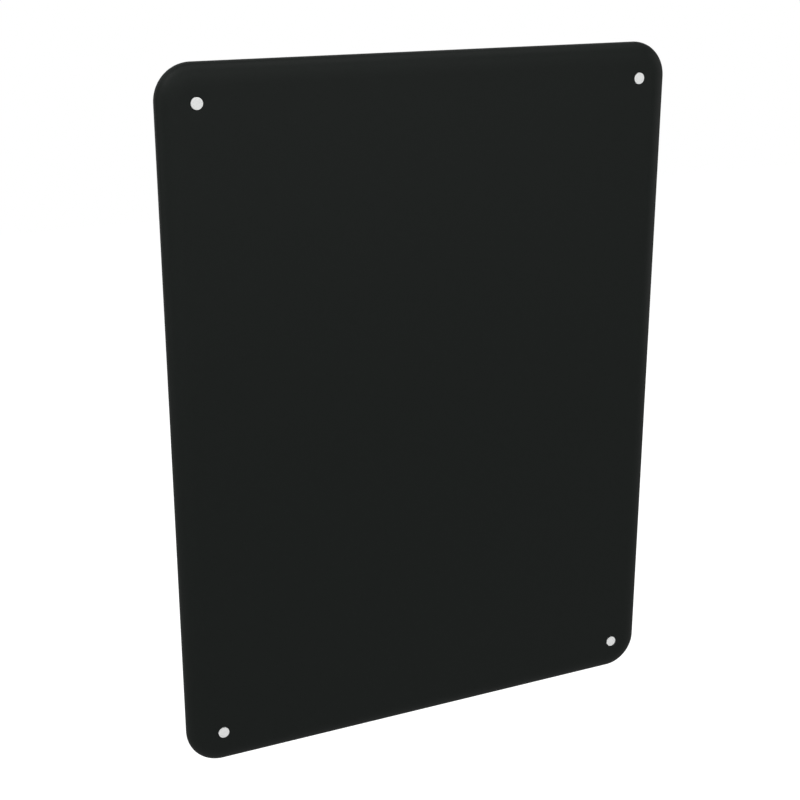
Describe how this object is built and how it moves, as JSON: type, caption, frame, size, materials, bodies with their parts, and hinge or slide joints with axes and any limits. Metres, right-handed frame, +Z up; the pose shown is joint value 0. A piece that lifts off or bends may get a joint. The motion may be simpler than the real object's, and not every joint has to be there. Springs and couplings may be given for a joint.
{
  "type": "acoustic partition panel",
  "caption": "Upright fabric-covered acoustic screen panel with rolled edges, round corners and a capped through fixing in each corner.",
  "frame": {"origin": "centre of the rear face, in the middle of the four threaded fixings", "axes": "+Z up along the panel's height, +X to the right of someone facing the front, +Y out of the rear face; the front face looks along -Y"},
  "size_m": [0.76, 0.0408, 1],
  "materials": {
    "cover_fabric": "matte",
    "welt_fabric": "matte",
    "pad_fibre": "matte",
    "core_fibre": "matte",
    "frame_timber": "satin",
    "dowel_timber": "satin",
    "block_plywood": "satin",
    "nut_steel": "satin",
    "washer_steel": "satin",
    "screw_steel": "satin",
    "cap_plastic": "satin"
  },
  "bodies": {
    "panel": {"front_cover": "cover_fabric", "rear_cover": "cover_fabric", "seam_welt": "welt_fabric", "front_pad": "pad_fibre", "rear_pad": "pad_fibre", "sound_core": "core_fibre", "left_stile": "frame_timber", "right_stile": "frame_timber", "top_rail": "frame_timber", "bottom_rail": "frame_timber", "frame_dowels": "dowel_timber", "corner_block_top_left": "block_plywood", "corner_block_top_right": "block_plywood", "corner_block_bottom_left": "block_plywood", "corner_block_bottom_right": "block_plywood", "sleeve_nut_top_left": "nut_steel", "sleeve_nut_top_right": "nut_steel", "sleeve_nut_bottom_left": "nut_steel", "sleeve_nut_bottom_right": "nut_steel", "washer_top_left": "washer_steel", "washer_top_right": "washer_steel", "washer_bottom_left": "washer_steel", "washer_bottom_right": "washer_steel", "screw_top_left": "screw_steel", "screw_top_right": "screw_steel", "screw_bottom_left": "screw_steel", "screw_bottom_right": "screw_steel"},
    "cap_top_left": {"cap_top_left": "cap_plastic"},
    "cap_top_right": {"cap_top_right": "cap_plastic"},
    "cap_bottom_left": {"cap_bottom_left": "cap_plastic"},
    "cap_bottom_right": {"cap_bottom_right": "cap_plastic"}
  },
  "joints": [
    {"name": "cap_top_left_pull", "type": "slide", "parent": "panel", "child": "cap_top_left", "axis": [0, -1, 0], "range_m": [0, 0.02]},
    {"name": "cap_top_right_pull", "type": "slide", "parent": "panel", "child": "cap_top_right", "axis": [0, -1, 0], "range_m": [0, 0.02]},
    {"name": "cap_bottom_left_pull", "type": "slide", "parent": "panel", "child": "cap_bottom_left", "axis": [0, -1, 0], "range_m": [0, 0.02]},
    {"name": "cap_bottom_right_pull", "type": "slide", "parent": "panel", "child": "cap_bottom_right", "axis": [0, -1, 0], "range_m": [0, 0.02]}
  ]
}
